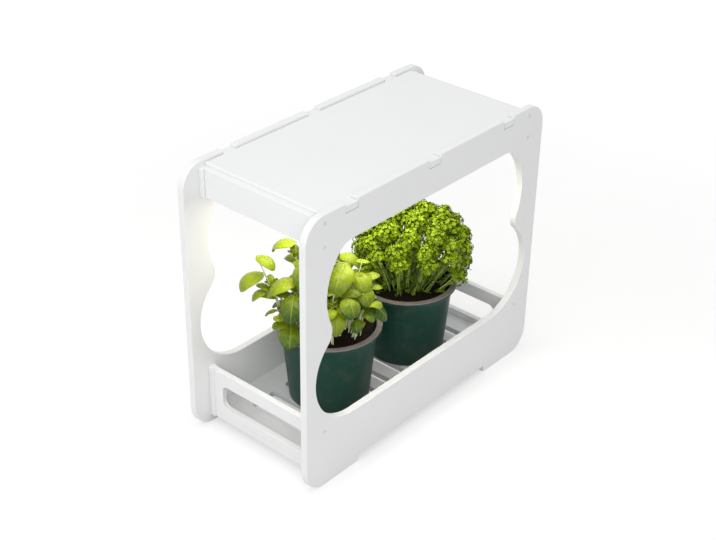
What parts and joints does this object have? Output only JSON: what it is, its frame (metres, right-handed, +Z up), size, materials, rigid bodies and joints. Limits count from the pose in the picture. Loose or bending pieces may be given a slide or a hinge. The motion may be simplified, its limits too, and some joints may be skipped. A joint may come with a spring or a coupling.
{
  "type": "indoor herb planter with grow light",
  "caption": "White free-standing herb planter with slatted tray, shaped side panels, lamp hood with lift-off top, and potted basil and curly parsley.",
  "frame": {"origin": "on the resting surface under the middle of the planter", "axes": "+Z up, +X along the length toward the end with the supply inlet, -Y toward the front side panel"},
  "size_m": [0.46, 0.21, 0.386],
  "materials": {
    "white_lacquer": "white lacquered fibreboard, satin gloss",
    "tray_lacquer": "white lacquered fibreboard, glossy",
    "screw_cap": "white cover cap",
    "lamp_white": "white powder coat",
    "board_white": "white solder mask",
    "chip_yellow": "phosphor under clear resin",
    "diffuser_opal": "opal sheet",
    "steel": "zinc plated",
    "aluminium": "plain",
    "inlet_black": "moulded",
    "lead_sleeve": "white flexible sleeve",
    "pot_green": "dark green, slight sheen",
    "soil": "damp peat, crumbly",
    "basil_stem": "pale green stem",
    "basil_leaf": "smooth bright green leaf",
    "parsley_stem": "pale green stem",
    "parsley_leaf": "curly green leaf"
  },
  "bodies": {
    "frame": {"side_panel_front": "white_lacquer", "side_panel_rear": "white_lacquer", "hood_apron_left": "white_lacquer", "hood_apron_right": "white_lacquer", "tray_end_left": "white_lacquer", "tray_end_right": "white_lacquer", "tray_floor": "tray_lacquer", "panel_screws_front": "screw_cap", "panel_screws_rear": "screw_cap", "lamp_housing": "lamp_white", "light_board": "board_white", "light_chips": "chip_yellow", "lamp_diffuser": "diffuser_opal", "lamp_screws": "steel", "board_rivets": "aluminium", "supply_inlet": "inlet_black", "inlet_nut": "steel", "lamp_lead": "lead_sleeve", "tray_cleat_front_left": "white_lacquer", "tray_cleat_front_right": "white_lacquer", "tray_cleat_rear_left": "white_lacquer", "tray_cleat_rear_right": "white_lacquer", "hood_cleat_front_left": "white_lacquer", "hood_cleat_front_right": "white_lacquer", "hood_cleat_rear_left": "white_lacquer", "hood_cleat_rear_right": "white_lacquer"},
    "top": {"top_plate": "white_lacquer"},
    "basil": {"basil_pot": "pot_green", "basil_soil": "soil", "basil_stems": "basil_stem", "basil_leaves": "basil_leaf"},
    "parsley": {"parsley_pot": "pot_green", "parsley_soil": "soil", "parsley_stems": "parsley_stem", "parsley_leaves": "parsley_leaf"}
  },
  "joints": [
    {"name": "top_plate_lift", "type": "slide", "parent": "frame", "child": "top", "axis": [0, 0, 1], "range_m": [0, 0.06]},
    {"name": "basil_pot_lift", "type": "slide", "parent": "frame", "child": "basil", "axis": [0, 0, 1], "range_m": [0, 0.065]},
    {"name": "parsley_pot_lift", "type": "slide", "parent": "frame", "child": "parsley", "axis": [0, 0, 1], "range_m": [0, 0.065]}
  ]
}
